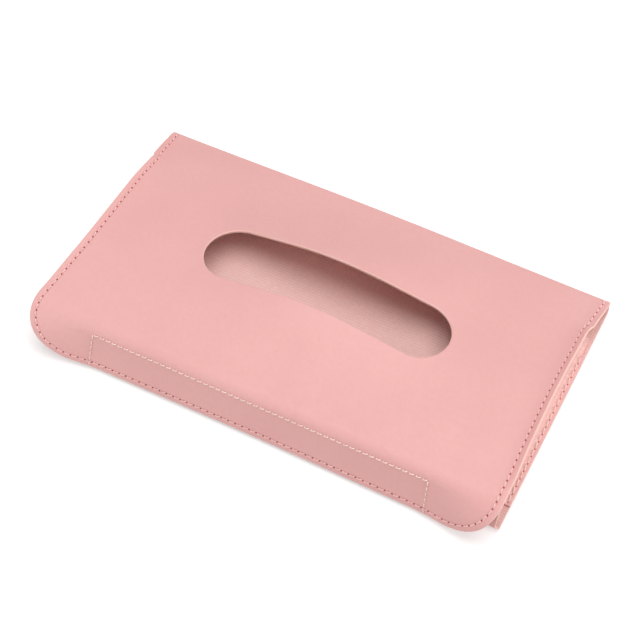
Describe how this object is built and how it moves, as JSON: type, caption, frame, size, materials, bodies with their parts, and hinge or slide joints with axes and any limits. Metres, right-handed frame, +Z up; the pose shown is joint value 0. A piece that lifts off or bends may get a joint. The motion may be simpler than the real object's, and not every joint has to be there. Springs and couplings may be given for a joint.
{
  "type": "car tissue holder",
  "caption": "Folded leather pouch with a stadium mouth in its flap, side gussets, a hook-and-loop lip and elastic bands that strap it to a sun visor.",
  "frame": {"origin": "under the middle of the closed holder, level with the lowest faces of the elastic bands", "axes": "+X along the pouch, +Y from the closure wall to the spine fold, +Z up through the flap"},
  "size_m": [0.235, 0.1356, 0.0304],
  "materials": {
    "leather": "matte",
    "lining": "fine ribbed cloth",
    "stiffener": "bonded board",
    "tape": "hook-and-loop pile",
    "pink_thread": "twisted polyester",
    "cream_thread": "twisted polyester",
    "elastic": "woven elastic"
  },
  "bodies": {
    "root": {"back_cover": "leather", "back_stiffener": "stiffener", "back_lining": "lining", "left_gusset": "leather", "left_gusset_thread": "pink_thread", "left_band": "elastic", "left_band_front_thread": "pink_thread", "left_band_spine_thread": "pink_thread", "right_gusset": "leather", "right_gusset_thread": "pink_thread", "right_band": "elastic", "right_band_front_thread": "pink_thread", "right_band_spine_thread": "pink_thread"},
    "flap": {"front_cover": "leather", "front_stiffener": "stiffener", "front_lining": "lining", "hook_tape": "tape", "perimeter_thread": "pink_thread", "hook_tape_thread": "cream_thread"},
    "lip": {"lip_cover": "leather", "lip_lining": "lining", "loop_tape": "tape", "loop_tape_thread": "cream_thread"}
  },
  "joints": [
    {"name": "flap_hinge", "type": "hinge", "parent": "root", "child": "flap", "pos_m": [0, 0.06501, 0.0042], "axis": [-1, 0, 0], "range_deg": [0, 14], "deforming": ["left_gusset", "right_gusset"]},
    {"name": "lip_fold", "type": "hinge", "parent": "root", "child": "lip", "pos_m": [0, -0.05774, 0.00345], "axis": [-1, 0, 0], "range_deg": [0, 50]}
  ]
}
